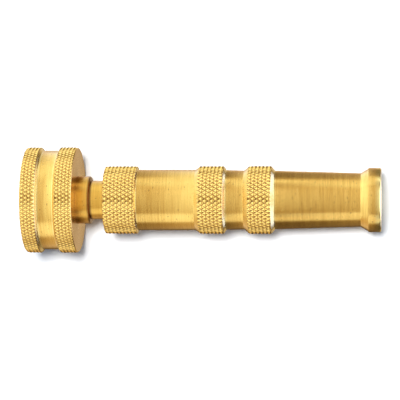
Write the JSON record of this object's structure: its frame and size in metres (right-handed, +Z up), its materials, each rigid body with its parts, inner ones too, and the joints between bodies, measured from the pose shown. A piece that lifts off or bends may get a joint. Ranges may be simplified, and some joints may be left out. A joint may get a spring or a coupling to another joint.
{
  "type": "hose spray nozzle",
  "caption": "Brass twist nozzle for a garden hose: swivel coupling nut, screw-threaded stem and a knurled barrel that turns to open and shape the spray.",
  "frame": {"origin": "centre of the hose inlet, on the nozzle's axis at the rear face of the coupling nut", "axes": "+X along the nozzle's axis towards the tip, the way the water leaves; +Z up with the nozzle lying on its side; Y completes the right-handed frame"},
  "size_m": [0.105, 0.0314, 0.0314],
  "materials": {
    "brass": "satin turned",
    "washer_rubber": "matte",
    "seal_rubber": "semi-matte"
  },
  "bodies": {
    "coupling": {"coupling_nut": "brass", "hose_washer": "washer_rubber"},
    "stem": {"stem": "brass", "tip_seal": "seal_rubber"},
    "seal": {"stem_o_ring": "seal_rubber"},
    "barrel": {"barrel": "brass"}
  },
  "joints": [
    {"name": "nut_swivel", "type": "hinge", "parent": "coupling", "child": "stem", "pos_m": [0.014, 0, 0], "axis": [1, 0, 0], "continuous": true},
    {"name": "barrel_twist", "type": "hinge", "parent": "stem", "child": "seal", "pos_m": [0.03, 0, 0], "axis": [1, 0, 0], "range_deg": [0, 900]},
    {"name": "barrel_travel", "type": "slide", "parent": "seal", "child": "barrel", "axis": [1, 0, 0], "range_m": [0, 0.005]}
  ],
  "couplings": [
    {"joint": "barrel_twist", "follows": "barrel_travel", "rad_per_m": 3141.6}
  ]
}
